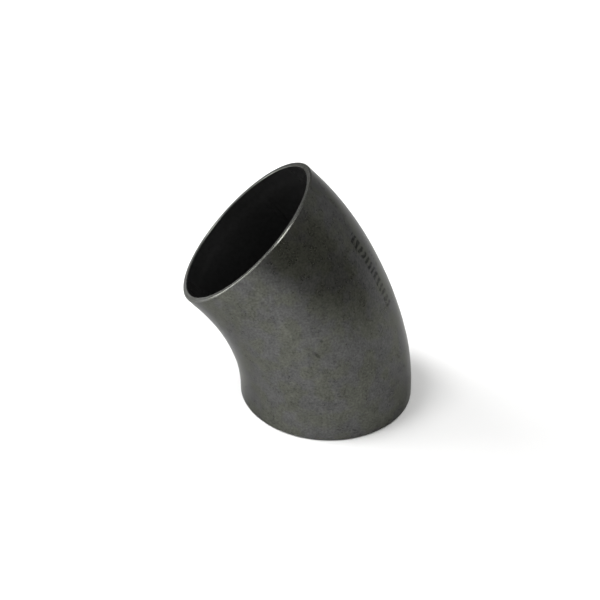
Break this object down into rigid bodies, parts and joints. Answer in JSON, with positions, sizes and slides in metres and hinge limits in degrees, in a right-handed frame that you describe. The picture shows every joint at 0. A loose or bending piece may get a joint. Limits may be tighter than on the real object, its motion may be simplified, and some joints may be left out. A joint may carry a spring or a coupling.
{
  "type": "pipe elbow",
  "caption": "Butt-weld long-radius 45-degree pipe elbow in dark steel, two pressed half shells joined by side seams, square-cut ends with a small edge chamfer.",
  "frame": {"origin": "centre of the lower weld end's face", "axes": "+Z along the lower end's axis, into the elbow; the elbow bends towards -X in the XZ plane, which is its mirror plane; the longitudinal seams are at -Y and +Y"},
  "size_m": [0.1432, 0.108, 0.1522],
  "materials": {
    "shell_steel": "matte",
    "weld_metal": "matte"
  },
  "bodies": {
    "root": {"outer_half_shell": "shell_steel", "inner_half_shell": "shell_steel", "near_seam_root_run": "weld_metal", "near_seam_cap_run": "weld_metal", "far_seam_root_run": "weld_metal", "far_seam_cap_run": "weld_metal"}
  },
  "joints": []
}
